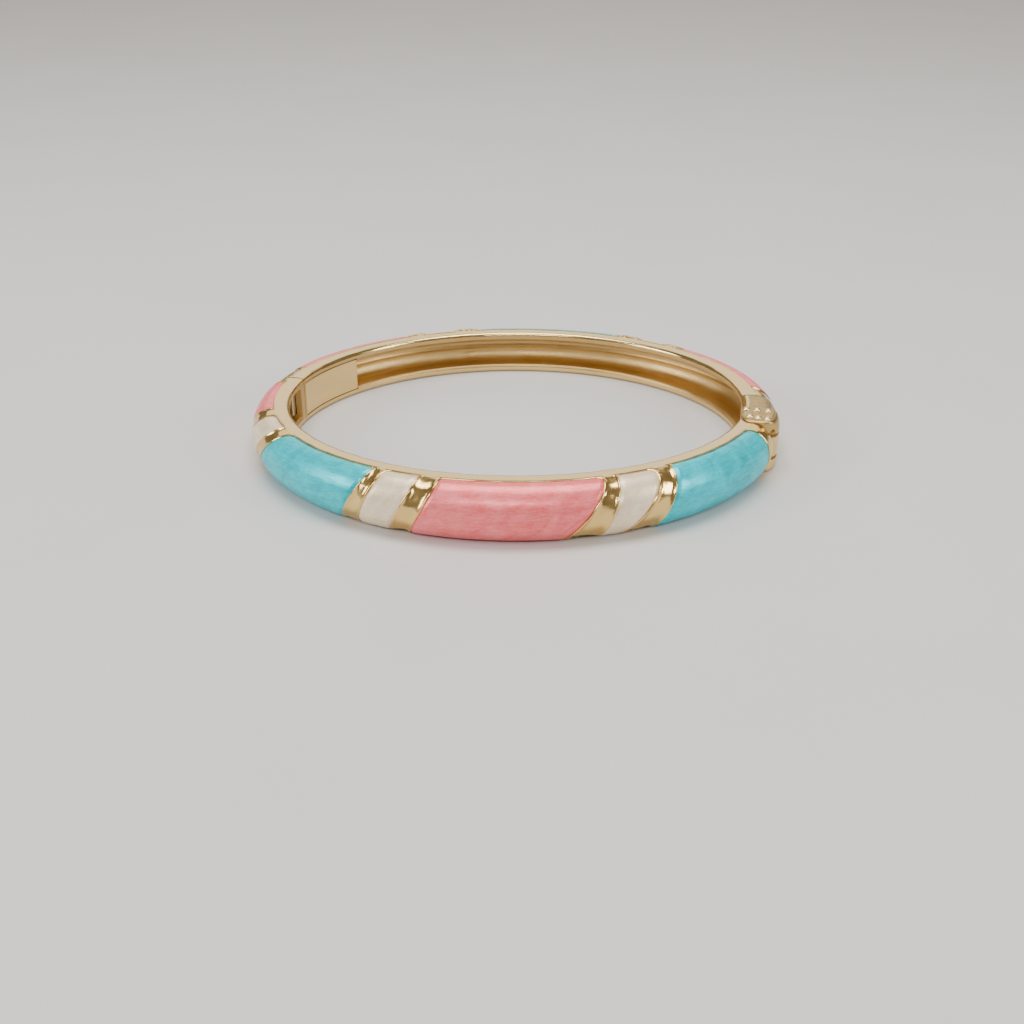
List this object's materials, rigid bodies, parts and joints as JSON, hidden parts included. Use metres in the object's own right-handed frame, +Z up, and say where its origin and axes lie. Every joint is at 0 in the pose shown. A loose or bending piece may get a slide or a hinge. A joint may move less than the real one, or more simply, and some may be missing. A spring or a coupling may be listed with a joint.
{
  "type": "hinged bangle bracelet",
  "caption": "Oval hinged bangle in polished gold-tone metal with pearly pink, cream and turquoise enamel fills, a barrel hinge on one side and a snap clasp on the other.",
  "frame": {"origin": "centre of the band's oval outline, on the surface the bangle lies on", "axes": "+X towards the hinge side, +Y towards the back half, +Z up through the wrist opening"},
  "size_m": [0.0673, 0.0592, 0.0069],
  "materials": {
    "gold_plate": "polished, lightly lumpy cast surface between the enamel fills",
    "pink_enamel": "glossy pearlescent with fine streaks along the band",
    "cream_enamel": "glossy pearlescent with fine streaks along the band",
    "turquoise_enamel": "glossy pearlescent with fine streaks along the band",
    "spring_steel": "satin, gold-washed"
  },
  "bodies": {
    "back_half": {"back_shell": "gold_plate", "pink_panel_back_hinge": "pink_enamel", "white_panel_back_right": "cream_enamel", "turquoise_panel_back_middle": "turquoise_enamel", "white_panel_back_left": "cream_enamel", "pink_panel_back_clasp": "pink_enamel", "clasp_cover": "gold_plate", "hinge_pin": "spring_steel"},
    "front_half": {"front_shell": "gold_plate", "pink_panel_front_clasp": "pink_enamel", "white_panel_front_left": "cream_enamel", "turquoise_panel_front_left": "turquoise_enamel", "white_panel_front_mid_left": "cream_enamel", "pink_panel_front_middle": "pink_enamel", "white_panel_front_mid_right": "cream_enamel", "turquoise_panel_front_hinge": "turquoise_enamel", "tongue_plate": "spring_steel"},
    "catch": {"catch_leaf": "spring_steel", "thumb_tab": "gold_plate"}
  },
  "joints": [
    {"name": "bangle_hinge", "type": "hinge", "parent": "back_half", "child": "front_half", "pos_m": [0.03028, -0.00688, 0.0032], "axis": [0, 0, 1], "range_deg": [0, 70]},
    {"name": "catch_press", "type": "hinge", "parent": "front_half", "child": "catch", "pos_m": [-0.02845, 0.01205, 0.00314], "axis": [0, 0, 1], "range_deg": [0, 8], "stiffness_Nm_per_rad": 0.01}
  ]
}
